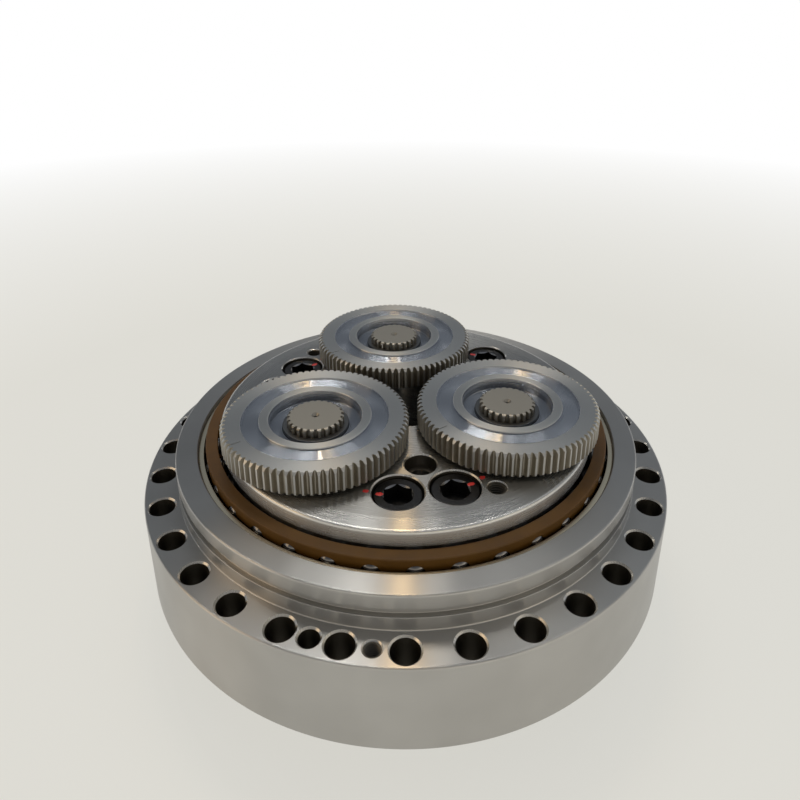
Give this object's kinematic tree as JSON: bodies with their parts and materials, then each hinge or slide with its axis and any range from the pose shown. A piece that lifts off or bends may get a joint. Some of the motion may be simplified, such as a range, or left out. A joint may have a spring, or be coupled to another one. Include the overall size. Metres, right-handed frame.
{
  "type": "cycloidal reducer",
  "caption": "Two-stage cycloidal reducer: flanged round case with bolt circle, turning carrier with spur gears on crankshafts, cycloid discs and ball bearings inside.",
  "frame": {"origin": "centre of the output face, on the reducer's axis", "axes": "+Z along the axis towards the input gears, +X and +Y across the case"},
  "size_m": [0.3699, 0.37, 0.147],
  "materials": {
    "case_steel": "turned satin",
    "carrier_steel": "ground",
    "gear_steel": "turned satin",
    "shaft_steel": "matt",
    "disc_steel": "ground",
    "bearing_steel": "polished",
    "race_steel": "ground",
    "spring_steel": "phosphated",
    "black_oxide": "oiled black oxide",
    "brown_cage": "oiled",
    "seal_rubber": "smooth"
  },
  "bodies": {
    "case": {"case": "case_steel", "ring_pins": "bearing_steel", "input_bearing_outer_race": "race_steel", "output_bearing_outer_race": "race_steel", "oil_seal": "seal_rubber"},
    "carrier": {"carrier_plate": "carrier_steel", "output_flange": "carrier_steel", "carrier_bolts": "black_oxide", "bolt_washers": "spring_steel", "locating_pins": "shaft_steel", "upper_bearing_cups": "race_steel", "lower_bearing_cups": "race_steel", "cup_retaining_rings": "spring_steel"},
    "input_ball_set": {"input_bearing_balls": "bearing_steel", "input_bearing_cage": "brown_cage"},
    "output_ball_set": {"output_bearing_balls": "bearing_steel", "output_bearing_cage": "brown_cage"},
    "crank_1": {"crankshaft_1": "shaft_steel", "spur_gear_1": "gear_steel", "gear_retaining_ring_1": "spring_steel", "bearing_cones_1": "race_steel", "thrust_washers_1": "bearing_steel"},
    "taper_set_1": {"taper_rollers_1": "bearing_steel", "taper_cages_1": "spring_steel"},
    "needle_set_1_lower": {"needles_1_lower": "bearing_steel", "needle_cage_1_lower": "spring_steel"},
    "needle_set_1_upper": {"needles_1_upper": "bearing_steel", "needle_cage_1_upper": "spring_steel"},
    "crank_2": {"crankshaft_2": "shaft_steel", "spur_gear_2": "gear_steel", "gear_retaining_ring_2": "spring_steel", "bearing_cones_2": "race_steel", "thrust_washers_2": "bearing_steel"},
    "taper_set_2": {"taper_rollers_2": "bearing_steel", "taper_cages_2": "spring_steel"},
    "needle_set_2_lower": {"needles_2_lower": "bearing_steel", "needle_cage_2_lower": "spring_steel"},
    "needle_set_2_upper": {"needles_2_upper": "bearing_steel", "needle_cage_2_upper": "spring_steel"},
    "crank_3": {"crankshaft_3": "shaft_steel", "spur_gear_3": "gear_steel", "gear_retaining_ring_3": "spring_steel", "bearing_cones_3": "race_steel", "thrust_washers_3": "bearing_steel"},
    "taper_set_3": {"taper_rollers_3": "bearing_steel", "taper_cages_3": "spring_steel"},
    "needle_set_3_lower": {"needles_3_lower": "bearing_steel", "needle_cage_3_lower": "spring_steel"},
    "needle_set_3_upper": {"needles_3_upper": "bearing_steel", "needle_cage_3_upper": "spring_steel"},
    "disc_lower": {"cycloid_disc_lower": "disc_steel"},
    "disc_upper": {"cycloid_disc_upper": "disc_steel"}
  },
  "joints": [
    {"name": "carrier_spin", "type": "hinge", "parent": "case", "child": "carrier", "pos_m": [0, 0, 0.0655], "axis": [0, 0, 1], "continuous": true},
    {"name": "input_ball_set_spin", "type": "hinge", "parent": "case", "child": "input_ball_set", "pos_m": [0, 0, 0.108], "axis": [0, 0, 1], "continuous": true},
    {"name": "output_ball_set_spin", "type": "hinge", "parent": "case", "child": "output_ball_set", "pos_m": [0, 0, 0.023], "axis": [0, 0, 1], "continuous": true},
    {"name": "crank_1_spin", "type": "hinge", "parent": "carrier", "child": "crank_1", "pos_m": [-0.00979, 0.07436, 0.0655], "axis": [0, 0, 1], "continuous": true},
    {"name": "taper_set_1_spin", "type": "hinge", "parent": "carrier", "child": "taper_set_1", "pos_m": [-0.00979, 0.07436, 0.0655], "axis": [0, 0, 1], "continuous": true},
    {"name": "needle_set_1_lower_spin", "type": "hinge", "parent": "crank_1", "child": "needle_set_1_lower", "pos_m": [-0.00759, 0.07436, 0.0537], "axis": [0, 0, 1], "continuous": true},
    {"name": "needle_set_1_upper_spin", "type": "hinge", "parent": "crank_1", "child": "needle_set_1_upper", "pos_m": [-0.01199, 0.07436, 0.0773], "axis": [0, 0, 1], "continuous": true},
    {"name": "crank_2_spin", "type": "hinge", "parent": "carrier", "child": "crank_2", "pos_m": [-0.0595, -0.04566, 0.0655], "axis": [0, 0, 1], "continuous": true},
    {"name": "taper_set_2_spin", "type": "hinge", "parent": "carrier", "child": "taper_set_2", "pos_m": [-0.0595, -0.04566, 0.0655], "axis": [0, 0, 1], "continuous": true},
    {"name": "needle_set_2_lower_spin", "type": "hinge", "parent": "crank_2", "child": "needle_set_2_lower", "pos_m": [-0.0573, -0.04566, 0.0537], "axis": [0, 0, 1], "continuous": true},
    {"name": "needle_set_2_upper_spin", "type": "hinge", "parent": "crank_2", "child": "needle_set_2_upper", "pos_m": [-0.0617, -0.04566, 0.0773], "axis": [0, 0, 1], "continuous": true},
    {"name": "crank_3_spin", "type": "hinge", "parent": "carrier", "child": "crank_3", "pos_m": [0.06929, -0.0287, 0.0655], "axis": [0, 0, 1], "continuous": true},
    {"name": "taper_set_3_spin", "type": "hinge", "parent": "carrier", "child": "taper_set_3", "pos_m": [0.06929, -0.0287, 0.0655], "axis": [0, 0, 1], "continuous": true},
    {"name": "needle_set_3_lower_spin", "type": "hinge", "parent": "crank_3", "child": "needle_set_3_lower", "pos_m": [0.07149, -0.0287, 0.0537], "axis": [0, 0, 1], "continuous": true},
    {"name": "needle_set_3_upper_spin", "type": "hinge", "parent": "crank_3", "child": "needle_set_3_upper", "pos_m": [0.06709, -0.0287, 0.0773], "axis": [0, 0, 1], "continuous": true},
    {"name": "disc_lower_spin", "type": "hinge", "parent": "crank_1", "child": "disc_lower", "pos_m": [-0.00759, 0.07436, 0.0537], "axis": [0, 0, 1], "continuous": true},
    {"name": "disc_upper_spin", "type": "hinge", "parent": "crank_1", "child": "disc_upper", "pos_m": [-0.01199, 0.07436, 0.0773], "axis": [0, 0, 1], "continuous": true}
  ],
  "couplings": [
    {"joint": "carrier_spin", "follows": "crank_1_spin", "ratio": -0.025},
    {"joint": "input_ball_set_spin", "follows": "crank_1_spin", "ratio": -0.012},
    {"joint": "output_ball_set_spin", "follows": "crank_1_spin", "ratio": -0.012},
    {"joint": "taper_set_1_spin", "follows": "crank_1_spin", "ratio": 0.44},
    {"joint": "needle_set_1_lower_spin", "follows": "crank_1_spin", "ratio": -0.559},
    {"joint": "needle_set_1_upper_spin", "follows": "crank_1_spin", "ratio": -0.559},
    {"joint": "crank_2_spin", "follows": "crank_1_spin", "ratio": 1},
    {"joint": "taper_set_2_spin", "follows": "crank_1_spin", "ratio": 0.44},
    {"joint": "needle_set_2_lower_spin", "follows": "crank_1_spin", "ratio": -0.559},
    {"joint": "needle_set_2_upper_spin", "follows": "crank_1_spin", "ratio": -0.559},
    {"joint": "crank_3_spin", "follows": "crank_1_spin", "ratio": 1},
    {"joint": "taper_set_3_spin", "follows": "crank_1_spin", "ratio": 0.44},
    {"joint": "needle_set_3_lower_spin", "follows": "crank_1_spin", "ratio": -0.559},
    {"joint": "needle_set_3_upper_spin", "follows": "crank_1_spin", "ratio": -0.559},
    {"joint": "disc_lower_spin", "follows": "crank_1_spin", "ratio": -1},
    {"joint": "disc_upper_spin", "follows": "crank_1_spin", "ratio": -1}
  ]
}
